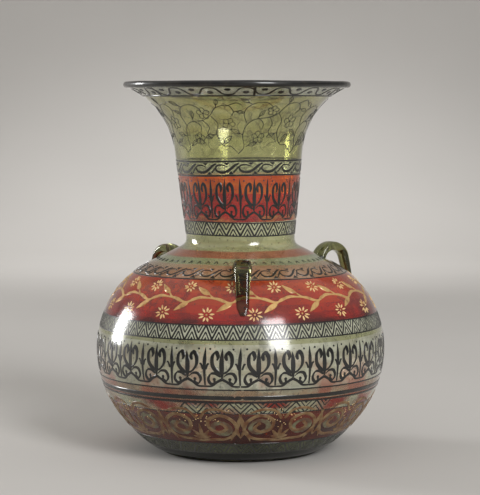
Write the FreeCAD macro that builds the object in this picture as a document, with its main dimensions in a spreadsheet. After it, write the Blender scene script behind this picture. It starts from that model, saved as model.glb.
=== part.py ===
import FreeCAD, Part
import math
import os
import re

import Sketcher
from FreeCAD import Placement, Rotation, Vector

# A blown glass mosque lamp with three applied hanging loops. A glass oil cup with its brass wick holder and wick
# stands inside and lifts out through the neck. Millimetres, +Z up, origin on the table under the lamp's axis.

SIZES = {
    # bulb, outside: two arcs below the belly, one arc and a straight shoulder above it
    "belly_radius": 122.0,
    "belly_height": 88.0,
    "lower_side_radius": 91.9,
    "lower_side_angle": 36.0,
    "base_side_radius": 135.5,
    "upper_side_radius": 80.6,
    "shoulder_slope": 26.2,
    "collar_radius": 45.7,
    "collar_rise": 4.4,
    "collar_fillet": 5.0,
    "heel_fillet": 8.0,
    # bulb, inside and underneath
    "bulb_wall": 3.2,
    "floor_thickness": 5.5,
    "floor_fillet": 6.0,
    "kick_inset": 1.0,
    "kick_depth": 2.5,
    # foot ring
    "foot_height": 2.2,
    "foot_inset": 4.4,
    "foot_width": 6.5,
    "foot_fillet": 0.9,
    # neck and lip
    "neck_wall": 3.0,
    "neck_straight": 75.0,
    "neck_taper": 6.2,
    "flare_radius": 65.0,
    "flare_angle": 59.8,
    "lip_radius": 2.6,
    # hanging loops
    "loop_radius": 12.0,
    "loop_start_angle": 200.0,
    "strap_width_top": 17.0,
    "strap_thickness_top": 7.0,
    "strap_width_foot": 10.5,
    "strap_thickness_foot": 5.2,
    "outer_foot_angle": 37.4,
    "pad_length": 26.0,
    "pad_width": 11.6,
    "pad_thickness": 3.8,
    "front_loop_azimuth_angle": 1.0,
    "front_loop_polar_angle": 53.9,
    "front_loop_lift": -0.5,
    "right_loop_azimuth_angle": 116.0,
    "right_loop_polar_angle": 56.6,
    "right_loop_lift": 3.6,
    "left_loop_azimuth_angle": 228.0,
    "left_loop_polar_angle": 56.4,
    "left_loop_lift": -0.3,
    # oil cup
    "seat_gap": 0.3,
    "cup_height": 26.0,
    "cup_foot_radius": 22.0,
    "cup_rim_radius": 29.0,
    "cup_wall": 2.2,
    "cup_floor": 3.0,
    "cup_heel_fillet": 2.0,
    "cup_rim_fillet": 0.9,
    # brass wick holder
    "hub_radius": 7.0,
    "hub_thickness": 2.0,
    "arm_width": 6.0,
    "arm_thickness": 1.2,
    "hook_drop": 7.0,
    "hook_clearance": 0.5,
    "tube_radius": 3.0,
    "tube_bore": 1.9,
    "tube_above": 5.0,
    "tube_below": 12.0,
    # wick
    "wick_clearance": 0.1,
    "wick_above": 3.0,
    "wick_below": 5.0,
    "wick_end_fillet": 0.8,
}

ARM_COUNT = 3
LOOPS = ("front", "right", "left")

doc = FreeCAD.newDocument("mosque_lamp")
sheet = doc.addObject("Spreadsheet::Sheet", "dims")
for row, (alias, value) in enumerate(SIZES.items(), start=1):
    sheet.set(f"A{row}", alias)
    sheet.set(f"B{row}", str(value))
    sheet.setAlias(f"B{row}", alias)
doc.recompute()


def tied(formula):
    """The formula with each size's name pointing at its cell in the sheet."""
    return re.sub(r"[a-z_]+", lambda word: f"dims.{word[0]}" if word[0] in SIZES else word[0], formula)


def number(formula):
    return float(sheet.evalExpression(tied(formula)))


def bind(target, **properties):
    """Sets properties of an object by formulas in the sheet's sizes."""
    for name, formula in properties.items():
        target.setExpression(name, tied(formula))


# Derived places, as formulas in the sizes. A point is a pair: its radius and its height.

def offset(point, distance, direction):
    """The point that lies a distance from another in a direction, all given as formulas."""
    return tuple(f"({start} + ({distance}) * {step})" for start, step in zip(point, direction))


SHOULDER_NORMAL = ("sin(shoulder_slope * 1 deg)", "cos(shoulder_slope * 1 deg)")
LOWER_NORMAL = ("cos(lower_side_angle * 1 deg)", "(0 - sin(lower_side_angle * 1 deg))")
UPPER_CENTRE = ("(belly_radius - upper_side_radius)", "belly_height")
LOWER_CENTRE = ("(belly_radius - lower_side_radius)", "belly_height")
UPPER_JOIN = offset(UPPER_CENTRE, "upper_side_radius", SHOULDER_NORMAL)
LOWER_JOIN = offset(LOWER_CENTRE, "lower_side_radius", LOWER_NORMAL)
BASE_CENTRE = offset(LOWER_JOIN, "0 - base_side_radius", LOWER_NORMAL)
UPPER_JOIN_INSIDE = offset(UPPER_JOIN, "0 - bulb_wall", SHOULDER_NORMAL)
LOWER_JOIN_INSIDE = offset(LOWER_JOIN, "0 - bulb_wall", LOWER_NORMAL)
BORE = "(collar_radius - neck_wall)"
FLOOR = "(foot_height + kick_depth + floor_thickness)"


def on_shoulder(join, radius):
    """The height of the straight shoulder through a join at a radius."""
    return f"({join[1]} + ({join[0]} - {radius}) * tan(shoulder_slope * 1 deg))"


def on_base_side(radius, height):
    """The place at a height on the arc of the given radius above the base."""
    across = f"sqrt(({radius})^2 - ({BASE_CENTRE[1]} - {height})^2)"
    return f"({BASE_CENTRE[0]} + {across})", height


HEEL = on_base_side("base_side_radius", "foot_height")
FLOOR_EDGE = on_base_side("base_side_radius - bulb_wall", FLOOR)
FOOT_OUTER = f"({HEEL[0]} - foot_inset)"
FOOT_INNER = f"({FOOT_OUTER} - foot_width)"
KICK_RADIUS = f"({FOOT_INNER} - kick_inset)"
COLLAR_FOOT = ("collar_radius", on_shoulder(UPPER_JOIN, "collar_radius"))
COLLAR_TOP = f"({COLLAR_FOOT[1]} + collar_rise)"

TAPER_NORMAL = ("cos(neck_taper * 1 deg)", "(0 - sin(neck_taper * 1 deg))")
MOUTH_ANGLE = "((neck_taper + flare_angle) * 1 deg)"
MOUTH_NORMAL = (f"(0 - cos({MOUTH_ANGLE}))", f"sin({MOUTH_ANGLE})")
MOUTH_AHEAD = (f"sin({MOUTH_ANGLE})", f"cos({MOUTH_ANGLE})")
FLARE_START = ("(collar_radius + neck_straight * tan(neck_taper * 1 deg))", f"({COLLAR_TOP} + neck_straight)")
FLARE_CENTRE = offset(FLARE_START, "flare_radius", TAPER_NORMAL)
FLARE_START_INSIDE = offset(FLARE_START, "0 - neck_wall", TAPER_NORMAL)
MOUTH = offset(FLARE_CENTRE, "flare_radius", MOUTH_NORMAL)
MOUTH_INSIDE = offset(FLARE_CENTRE, "flare_radius + neck_wall", MOUTH_NORMAL)
LIP_MIDDLE = offset(offset(MOUTH, "neck_wall / 2", MOUTH_NORMAL),
                    "sqrt(lip_radius^2 - (neck_wall / 2)^2)", MOUTH_AHEAD)

CUP_BASE = f"({FLOOR} + seat_gap)"
CUP_RIM = f"({CUP_BASE} + cup_height)"
BRIDGE_BASE = f"({CUP_RIM} + seat_gap)"
HOOK_RADIUS = "(cup_rim_radius + hook_clearance)"
TUBE_TOP = f"({BRIDGE_BASE} + hub_thickness + tube_above)"
TUBE_FOOT = f"({BRIDGE_BASE} - tube_below)"


# Sketches and features

def new_body(name):
    body = doc.addObject("PartDesign::Body", name)
    body.Label = name
    return body


def new_sketch(body, name):
    """A sketch on the body's own XZ plane, where its x is the radius and its y the height."""
    sketch = body.newObject("Sketcher::SketchObject", name)
    plane = next(f for f in body.Origin.OriginFeatures if f.Role == "XZ_Plane")
    sketch.AttachmentSupport = [(plane, "")]
    sketch.MapMode = "FlatFace"
    return sketch


def fix_point(sketch, piece, end, label, point):
    """Ties a point of a sketch to formulas for its radius and height."""
    origin, upright_axis, level_axis = -1, -2, -1
    for kind, axis, formula in (("DistanceX", upright_axis, point[0]), ("DistanceY", level_axis, point[1])):
        if formula == "0":
            sketch.addConstraint(Sketcher.Constraint("PointOnObject", piece, end, axis))
            continue
        place = sketch.addConstraint(Sketcher.Constraint(kind, origin, 1, piece, end, number(formula)))
        sketch.renameConstraint(place, f"{label}_{kind}")
        bind(sketch, **{f"Constraints.{label}_{kind}": formula})


def arc_between(start, end, radius, side):
    """The short arc from start to end. Its centre lies on the left (side 1) or the right (side -1)."""
    chord = end - start
    rise = math.sqrt(radius ** 2 - chord.Length ** 2 / 4)
    centre = (start + end) / 2 + Vector(-chord.y, chord.x, 0).normalize() * side * rise
    turns = [math.atan2(point.y - centre.y, point.x - centre.x) for point in (start, end)]
    return Part.ArcOfCircle(Part.Circle(centre, Vector(0, 0, 1), radius), *turns[::side])


def draw_outline(sketch, *legs):
    """A closed outline. Each leg starts at its point and is a line, or an arc with a radius and a side."""
    points = [Vector(number(leg[0][0]), number(leg[0][1]), 0) for leg in legs]
    starts = []
    for index, leg in enumerate(legs):
        start, end = points[index], points[(index + 1) % len(points)]
        if len(leg) == 1:
            sketch.addGeometry(Part.LineSegment(start, end), False)
            starts.append(1)
            continue
        _, radius, side = leg
        sketch.addGeometry(arc_between(start, end, number(radius), side), False)
        starts.append(1 if side == 1 else 2)
        size = sketch.addConstraint(Sketcher.Constraint("Radius", index, number(radius)))
        sketch.renameConstraint(size, f"arc_{index}")
        bind(sketch, **{f"Constraints.arc_{index}": radius})
    for index, leg in enumerate(legs):
        following = (index + 1) % len(legs)
        sketch.addConstraint(Sketcher.Constraint("Coincident", index, 3 - starts[index], following, starts[following]))
        fix_point(sketch, index, starts[index], f"point_{index}", leg[0])


def turned_body(name, *legs):
    """A body turned about the axis from an outline."""
    body = new_body(name)
    sketch = new_sketch(body, f"{name}_outline")
    draw_outline(sketch, *legs)
    turned = body.newObject("PartDesign::Revolution", f"{name}_turned")
    turned.Profile = sketch
    turned.ReferenceAxis = (sketch, ["V_Axis"])
    turned.Angle = 360
    doc.recompute()
    return body


def round_edges(body, radius, *points):
    """Rounds the circular edges of a body that run through the given points of its outline."""
    tip = body.Tip
    names = []
    for point in points:
        across, height = number(point[0]), number(point[1])
        for index, edge in enumerate(tip.Shape.Edges, start=1):
            round_edge = isinstance(edge.Curve, Part.Circle)
            if round_edge and math.hypot(edge.Curve.Radius - across, edge.Curve.Center.z - height) < 0.01:
                names.append(f"Edge{index}")
    fillet = body.newObject("PartDesign::Fillet", f"{body.Name}_{radius}")
    fillet.Base = (tip, names)
    bind(fillet, Radius=radius)
    doc.recompute()


# The vessel

OUTSIDE = (
    (HEEL, "base_side_radius", 1),
    (LOWER_JOIN, "lower_side_radius", 1),
    (("belly_radius", "belly_height"), "upper_side_radius", 1),
    (UPPER_JOIN,),
    (COLLAR_FOOT,),
)


def make_bulb():
    bulb = turned_body(
        "bulb",
        (("0", "foot_height + kick_depth"),),
        ((KICK_RADIUS, "foot_height"),),
        *OUTSIDE,
        (("collar_radius", COLLAR_TOP),),
        ((BORE, COLLAR_TOP),),
        ((BORE, on_shoulder(UPPER_JOIN_INSIDE, BORE)),),
        (UPPER_JOIN_INSIDE, "upper_side_radius - bulb_wall", -1),
        (("belly_radius - bulb_wall", "belly_height"), "lower_side_radius - bulb_wall", -1),
        (LOWER_JOIN_INSIDE, "base_side_radius - bulb_wall", -1),
        (FLOOR_EDGE,),
        (("0", FLOOR),),
    )
    round_edges(bulb, "collar_fillet", COLLAR_FOOT)
    round_edges(bulb, "heel_fillet", HEEL)
    round_edges(bulb, "floor_fillet", FLOOR_EDGE)
    return bulb


def make_foot_ring():
    ring = turned_body(
        "foot_ring",
        ((FOOT_INNER, "0"),),
        ((FOOT_OUTER, "0"),),
        ((FOOT_OUTER, "foot_height"),),
        ((FOOT_INNER, "foot_height"),),
    )
    round_edges(ring, "foot_fillet", (FOOT_INNER, "0"), (FOOT_OUTER, "0"))
    return ring


def make_neck():
    return turned_body(
        "flared_neck",
        (("collar_radius", COLLAR_TOP),),
        (FLARE_START, "flare_radius", -1),
        (MOUTH,),
        (MOUTH_INSIDE, "flare_radius + neck_wall", 1),
        (FLARE_START_INSIDE,),
        ((BORE, COLLAR_TOP),),
    )


def make_lip():
    return turned_body(
        "rim_lip",
        (MOUTH, "lip_radius", 1),
        (offset(LIP_MIDDLE, "lip_radius", MOUTH_AHEAD), "lip_radius", 1),
        (MOUTH_INSIDE,),
    )


# The hanging loops. Each is made over the +X axis, cut to the bulb's surface and then turned to its place.

def strap_section(name, place, ahead, width, thickness):
    """An oval across the strap: wide along Y, thin in the plane of the loop."""
    oval = doc.addObject("Part::Ellipse", name)
    bind(oval, MajorRadius=f"{width} / 2", MinorRadius=f"{thickness} / 2")
    oval.Placement = Placement(place, Rotation(Vector(0, 1, 0), ahead.cross(Vector(0, 1, 0)), ahead, "ZXY"))
    return oval


def ahead_at(angle):
    """The direction at an angle above the level, outwards."""
    return f"cos({angle} * 1 deg)", f"sin({angle} * 1 deg)"


def make_strap(side):
    """The strap of one loop: up from the shoulder, over the top and straight down to its outer foot."""
    middle = offset(UPPER_CENTRE, f"upper_side_radius + {side}_loop_lift", ahead_at(f"{side}_loop_polar_angle"))
    start = offset(middle, "loop_radius", ahead_at("loop_start_angle"))
    foot = offset(UPPER_CENTRE, "upper_side_radius", ahead_at("outer_foot_angle"))
    hub, begin, end = (Vector(number(place[0]), number(place[1]), 0) for place in (middle, start, foot))
    radius = number("loop_radius")
    to_foot = end - hub
    leave_angle = math.atan2(to_foot.y, to_foot.x) + math.acos(radius / to_foot.Length)
    leave = hub + Vector(math.cos(leave_angle), math.sin(leave_angle), 0) * radius

    path = doc.addObject("Sketcher::SketchObject", f"{side}_loop_path")
    path.Placement = Placement(Vector(0, 0, 0), Rotation(Vector(1, 0, 0), 90))
    start_angle = math.radians(number("loop_start_angle"))
    circle = Part.Circle(hub, Vector(0, 0, 1), radius)
    path.addGeometry(Part.ArcOfCircle(circle, leave_angle, start_angle), False)
    path.addGeometry(Part.LineSegment(leave, end), False)
    path.addConstraint(Sketcher.Constraint("Tangent", 0, 1, 1, 1))
    fix_point(path, 0, 3, "middle", middle)
    fix_point(path, 0, 2, "start", start)
    fix_point(path, 1, 2, "foot", foot)

    strap = doc.addObject("Part::Sweep", f"{side}_loop_strap")
    at_start = Vector(begin.x, 0, begin.y)
    at_foot = Vector(end.x, 0, end.y)
    ahead_at_start = Vector(math.sin(start_angle), 0, -math.cos(start_angle))
    ahead_at_foot = (at_foot - Vector(leave.x, 0, leave.y)).normalize()
    strap.Sections = [
        strap_section(f"{side}_loop_top_section", at_start, ahead_at_start, "strap_width_top", "strap_thickness_top"),
        strap_section(f"{side}_loop_foot_section", at_foot, ahead_at_foot, "strap_width_foot", "strap_thickness_foot"),
    ]
    strap.Spine = (path, ["Edge1", "Edge2"])
    strap.Solid = True
    strap.Frenet = False
    return strap, at_foot


def make_loop(side, core):
    strap, at_foot = make_strap(side)
    pad = doc.addObject("Part::Ellipsoid", f"{side}_loop_pad")
    bind(pad, Radius1="pad_length / 2", Radius2="pad_thickness", Radius3="pad_width / 2")
    for angle, limit in (("Angle1", -90), ("Angle2", 90), ("Angle3", 360)):
        setattr(pad, angle, limit)
    pad.Placement = Placement(at_foot, Rotation(Vector(0, 1, 0), -number("outer_foot_angle")))
    gather = doc.addObject("Part::Fuse", f"{side}_loop_gather")
    gather.Base, gather.Tool = strap, pad
    loop = doc.addObject("Part::Cut", f"handle_{side}")
    loop.Label = f"handle_{side}"
    loop.Base, loop.Tool = gather, core
    loop.Placement = Placement(Vector(0, 0, 0), Rotation(Vector(0, 0, 1), 0))
    bind(loop, **{"Placement.Rotation.Angle": f"({side}_loop_azimuth_angle - 90) * 1 deg"})
    doc.recompute()
    return loop


# The oil cup, its wick holder and the wick

def make_oil_cup():
    cup = turned_body(
        "oil_cup",
        (("0", CUP_BASE),),
        (("cup_foot_radius", CUP_BASE),),
        (("cup_rim_radius", CUP_RIM),),
        (("cup_rim_radius - cup_wall", CUP_RIM),),
        (("cup_foot_radius - cup_wall", f"{CUP_BASE} + cup_floor"),),
        (("0", f"{CUP_BASE} + cup_floor"),),
    )
    round_edges(cup, "cup_heel_fillet", ("cup_foot_radius", CUP_BASE))
    round_edges(cup, "cup_rim_fillet", ("cup_rim_radius", CUP_RIM), ("cup_rim_radius - cup_wall", CUP_RIM))
    return cup


def make_wick_bridge():
    bridge = turned_body(
        "wick_bridge",
        (("tube_radius", BRIDGE_BASE),),
        (("hub_radius", BRIDGE_BASE),),
        (("hub_radius", f"{BRIDGE_BASE} + hub_thickness"),),
        (("tube_radius", f"{BRIDGE_BASE} + hub_thickness"),),
    )
    arm_root = "(hub_radius + tube_radius) / 2"
    outline = new_sketch(bridge, "arm_outline")
    draw_outline(
        outline,
        ((arm_root, BRIDGE_BASE),),
        ((HOOK_RADIUS, BRIDGE_BASE),),
        ((HOOK_RADIUS, f"{BRIDGE_BASE} - hook_drop"),),
        ((f"{HOOK_RADIUS} + arm_thickness", f"{BRIDGE_BASE} - hook_drop"),),
        ((f"{HOOK_RADIUS} + arm_thickness", f"{BRIDGE_BASE} + arm_thickness"),),
        ((arm_root, f"{BRIDGE_BASE} + arm_thickness"),),
    )
    arm = bridge.newObject("PartDesign::Pad", "arm")
    arm.Profile = outline
    arm.Midplane = True
    bind(arm, Length="arm_width")
    doc.recompute()
    arms = bridge.newObject("PartDesign::PolarPattern", "arms")
    arms.Originals = [arm]
    arms.Axis = (outline, ["V_Axis"])
    arms.Angle = 360
    arms.Occurrences = ARM_COUNT
    bridge.Tip = arms
    return bridge


def make_wick_tube():
    return turned_body(
        "wick_tube",
        (("tube_bore", TUBE_FOOT),),
        (("tube_radius", TUBE_FOOT),),
        (("tube_radius", TUBE_TOP),),
        (("tube_bore", TUBE_TOP),),
    )


def make_wick():
    radius = "(tube_bore - wick_clearance)"
    foot, top = f"({TUBE_FOOT} - wick_below)", f"({TUBE_TOP} + wick_above)"
    wick = turned_body("wick", (("0", foot),), ((radius, foot),), ((radius, top),), (("0", top),))
    round_edges(wick, "wick_end_fillet", (radius, foot), (radius, top))
    return wick


def make_core():
    """The bulb's outside as one solid, which shapes the feet of the loops. It isn't a piece of the lamp."""
    return turned_body("bulb_core", (("0", "foot_height"),), *OUTSIDE, (("0", COLLAR_FOOT[1]),))


bulb_core = make_core()
pieces = [make_bulb(), make_foot_ring(), make_neck(), make_lip()]
pieces += [make_loop(side, bulb_core) for side in LOOPS]
pieces += [make_oil_cup(), make_wick_bridge(), make_wick_tube(), make_wick()]

doc.recompute()
failed = [item.Name for item in doc.Objects if {"Invalid", "Error"} & set(item.State)]
failed += [piece.Label for piece in pieces if piece.Shape.isNull() or not piece.Shape.isValid()]
if failed:
    raise RuntimeError(f"these objects failed: {', '.join(failed)}")

os.makedirs("parts", exist_ok=True)
for piece in pieces:
    box = piece.Shape.BoundBox
    print(f"{piece.Label:12s} solids {len(piece.Shape.Solids)} volume {piece.Shape.Volume / 1000:8.2f} cm3"
          f"  z {box.ZMin:7.2f} to {box.ZMax:7.2f}  x {box.XMin:7.2f} to {box.XMax:7.2f}")
    piece.Shape.exportStep(f"parts/{piece.Label}.step")
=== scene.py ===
import math
import random

import bpy
import numpy as np
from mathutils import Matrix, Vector


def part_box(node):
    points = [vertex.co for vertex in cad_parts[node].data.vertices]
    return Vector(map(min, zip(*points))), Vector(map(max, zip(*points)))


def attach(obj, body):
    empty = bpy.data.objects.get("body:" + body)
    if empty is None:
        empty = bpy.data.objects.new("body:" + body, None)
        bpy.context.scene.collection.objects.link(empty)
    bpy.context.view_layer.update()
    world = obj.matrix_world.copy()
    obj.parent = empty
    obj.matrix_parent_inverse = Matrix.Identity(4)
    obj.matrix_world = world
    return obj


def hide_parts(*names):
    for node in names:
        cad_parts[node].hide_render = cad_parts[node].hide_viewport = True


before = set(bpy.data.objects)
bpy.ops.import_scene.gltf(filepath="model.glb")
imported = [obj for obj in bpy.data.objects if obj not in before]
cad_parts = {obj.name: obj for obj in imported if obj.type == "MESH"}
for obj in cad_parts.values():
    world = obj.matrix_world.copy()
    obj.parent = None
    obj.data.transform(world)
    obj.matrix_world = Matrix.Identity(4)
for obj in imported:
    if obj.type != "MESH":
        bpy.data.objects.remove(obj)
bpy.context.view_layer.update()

# A blown and enamelled glass mosque lamp. Shapes are worked out in millimetres and made in metres.

MM = 0.001
rng = random.Random(7)

# Camera: the photograph's frame is 480 by 495 pixels
PHOTO_HEIGHT = 495
FOCAL_PIXELS = 1862
SENSOR = 36.0
CAMERA_PITCH = 4.37
CAMERA_PLACE = (-0.0004, -1.5781, 0.2925)

# The vessel's outline, in millimetres and radians
BELLY_RADIUS = 122.0
BELLY_HEIGHT = 88.0
LOWER_SIDE_RADIUS = 91.9
LOWER_SIDE_ANGLE = math.radians(36.0)
BASE_SIDE_RADIUS = 135.5
UPPER_SIDE_RADIUS = 80.6
SHOULDER_SLOPE = math.radians(26.2)
UPPER_CENTRE = np.array([BELLY_RADIUS - UPPER_SIDE_RADIUS, BELLY_HEIGHT])
COLLAR_RADIUS = 45.7
COLLAR_RISE = 4.4
FOOT_HEIGHT = 2.2
KICK_RADIUS = 60.0
KICK_DEPTH = 2.5
FLOOR_THICKNESS = 5.5
BULB_WALL = 3.2
NECK_WALL = 3.0
NECK_STRAIGHT = 75.0
NECK_TAPER = math.radians(6.2)
FLARE_RADIUS = 65.0
FLARE_ANGLE = math.radians(59.8)
LIP_RADIUS = 2.6
COLLAR_SOFTNESS = 3.0
HEEL_SOFTNESS = 3.5
LINE_STEP = 0.25

# The neck's lean to one side at the rim, and the neck's height as a share of the collar's
RIM_LEAN = -3.0
NECK_SHARE = 0.72

# How many points go round the vessel
AROUND = 240


def arc(centre, radius, start, end, count=60):
    """Points along an arc of a circle."""
    turn = np.linspace(start, end, count)
    return np.column_stack([centre[0] + radius * np.cos(turn), centre[1] + radius * np.sin(turn)])


def respaced(points, step):
    """The same line with evenly spaced points."""
    points = np.asarray(points, float)
    along = np.concatenate([[0], np.cumsum(np.hypot(*np.diff(points, axis=0).T))])
    wanted = np.linspace(0, along[-1], max(2, int(round(along[-1] / step)) + 1))
    return np.column_stack([np.interp(wanted, along, points[:, axis]) for axis in (0, 1)])


def softened(points, spot, softness, step):
    """Rounds a corner of an evenly spaced line near a spot, as fire does."""
    distance = np.hypot(points[:, 0] - spot[0], points[:, 1] - spot[1])
    reach = int(3 * softness / step)
    weights = np.exp(-0.5 * (np.arange(-reach, reach + 1) * step / softness) ** 2)
    weights /= weights.sum()
    padded = np.vstack([points[:1]] * reach + [points] + [points[-1:]] * reach)
    smooth = np.column_stack([np.convolve(padded[:, axis], weights, "valid") for axis in (0, 1)])
    share = np.clip(2 - distance / (2 * softness), 0, 1)[:, None]
    return points + (smooth - points) * share


def wall_line(wall):
    """The vessel's outline at a depth below its outer surface, from the base's middle to the mouth."""
    inside = wall > 0
    lower_centre = (BELLY_RADIUS - LOWER_SIDE_RADIUS, BELLY_HEIGHT)
    back = LOWER_SIDE_RADIUS - BASE_SIDE_RADIUS
    base_centre = (lower_centre[0] + back * math.cos(LOWER_SIDE_ANGLE),
                   lower_centre[1] - back * math.sin(LOWER_SIDE_ANGLE))
    floor = FOOT_HEIGHT + KICK_DEPTH + FLOOR_THICKNESS if inside else FOOT_HEIGHT
    floor_turn = -math.asin((base_centre[1] - floor) / (BASE_SIDE_RADIUS - wall))
    shoulder_turn = math.pi / 2 - SHOULDER_SLOPE
    neck_wall = NECK_WALL if inside else 0
    bore = COLLAR_RADIUS - neck_wall
    if inside:
        parts = [[(0.01, floor)]]
    else:
        parts = [[(0.01, FOOT_HEIGHT + KICK_DEPTH), (KICK_RADIUS, FOOT_HEIGHT)]]
    parts.append(arc(base_centre, BASE_SIDE_RADIUS - wall, floor_turn, -LOWER_SIDE_ANGLE))
    parts.append(arc(lower_centre, LOWER_SIDE_RADIUS - wall, -LOWER_SIDE_ANGLE, 0)[1:])
    parts.append(arc(UPPER_CENTRE, UPPER_SIDE_RADIUS - wall, 0, shoulder_turn)[1:])
    join = parts[-1][-1]
    collar = (bore, join[1] + (join[0] - bore) * math.tan(SHOULDER_SLOPE))
    outer_join = UPPER_CENTRE[1] + UPPER_SIDE_RADIUS * math.sin(shoulder_turn)
    outer_reach = UPPER_CENTRE[0] + UPPER_SIDE_RADIUS * math.cos(shoulder_turn) - COLLAR_RADIUS
    collar_top = outer_join + outer_reach * math.tan(SHOULDER_SLOPE) + COLLAR_RISE
    parts.append([collar, (bore, collar_top)])
    flare_start = (COLLAR_RADIUS + NECK_STRAIGHT * math.tan(NECK_TAPER), collar_top + NECK_STRAIGHT)
    flare_centre = (flare_start[0] + FLARE_RADIUS * math.cos(NECK_TAPER),
                    flare_start[1] - FLARE_RADIUS * math.sin(NECK_TAPER))
    flare_turn = math.pi - NECK_TAPER
    parts.append(arc(flare_centre, FLARE_RADIUS + neck_wall, flare_turn, flare_turn - FLARE_ANGLE, 80))
    line = respaced(np.vstack(parts), LINE_STEP)
    heel = parts[1][0]
    line = softened(line, heel, HEEL_SOFTNESS, LINE_STEP)
    return softened(line, collar, COLLAR_SOFTNESS, LINE_STEP), collar_top


OUTER_LINE, COLLAR_TOP = wall_line(0.0)
INNER_LINE, _ = wall_line(BULB_WALL)

# The painted skin: the outer line from the heel up, how far along it each point lies, and its slope
HEEL_INDEX = int(np.argmax(OUTER_LINE[:, 1] > FOOT_HEIGHT + 1.0))
SKIN = OUTER_LINE[HEEL_INDEX:]
SKIN_ALONG = np.concatenate([[0], np.cumsum(np.hypot(*np.diff(SKIN, axis=0).T))])
SKIN_SLOPE = np.gradient(SKIN, SKIN_ALONG, axis=0)


def lean(height):
    """How far the hand-made neck leans to the left at a height."""
    share = np.clip((height - COLLAR_TOP) / (COLLAR_TOP * NECK_SHARE), 0, 1)
    return RIM_LEAN * share ** 1.2


def swell(angle, height):
    """The slight unevenness of blown glass, outwards."""
    fade = np.clip(height / 40, 0, 1) * np.clip((305 - height) / 30, 0, 1)
    wave = np.sin(2 * angle + 0.7 + height * 0.013) + 0.6 * np.sin(3 * angle - 1.1 - height * 0.021)
    return fade * (0.22 + 0.12 * wave)


def on_wall(angle, radius, height):
    """Places by angle, radius and height. The angle is 0 at the front and grows to the right."""
    return np.column_stack([radius * np.sin(angle) + lean(height), -radius * np.cos(angle), height]) * MM


def on_skin(angle, along, lift):
    """Places on the outer surface, at a length along its outline from the heel, raised by lift."""
    radius, height = (np.interp(along, SKIN_ALONG, SKIN[:, axis]) for axis in (0, 1))
    slope_r, slope_z = (np.interp(along, SKIN_ALONG, SKIN_SLOPE[:, axis]) for axis in (0, 1))
    lift = lift + swell(angle, height)
    return on_wall(angle, radius + slope_z * lift, height - slope_r * lift)


def along_at(height):
    """How far along the skin a height is met."""
    return float(np.interp(height, SKIN[:, 1], SKIN_ALONG))


def radius_at(along):
    """The vessel's radius at a length along the skin."""
    return float(np.interp(along, SKIN_ALONG, SKIN[:, 0]))


# Objects

def new_object(name, points, faces, materials, body="lamp", smooth=True):
    """A mesh object that rides on a body, if one is given."""
    mesh = bpy.data.meshes.new(name)
    mesh.from_pydata([tuple(p) for p in points], [], faces)
    for material in materials:
        mesh.materials.append(material)
    mesh.validate()
    piece = bpy.data.objects.new(name, mesh)
    bpy.context.scene.collection.objects.link(piece)
    mesh.polygons.foreach_set("use_smooth", [smooth] * len(mesh.polygons))
    if body:
        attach(piece, body)
    return piece


def ring_faces(rings, around, closed=False):
    """Quads between rings of points, each of the same count."""
    faces = []
    for ring in range(rings if closed else rings - 1):
        low, high = ring * around, (ring + 1) % rings * around
        for here in range(around):
            beside = (here + 1) % around
            faces.append((low + here, low + beside, high + beside, high + here))
    return faces


def end_caps(rings, around):
    """The faces that close the first and the last ring."""
    return [tuple(range(around))[::-1], tuple(range((rings - 1) * around, rings * around))]


# Materials

def linear(red, green, blue):
    """A colour as seen on screen, from 0 to 255, in the renderer's own scale."""
    def one(level):
        return ((level / 255 + 0.055) / 1.055) ** 2.4 if level > 10 else level / 255 / 12.92

    return one(red), one(green), one(blue)


def opaque(colour):
    """A screen colour in the renderer's scale, with its alpha."""
    return (*linear(*colour), 1)


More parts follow.
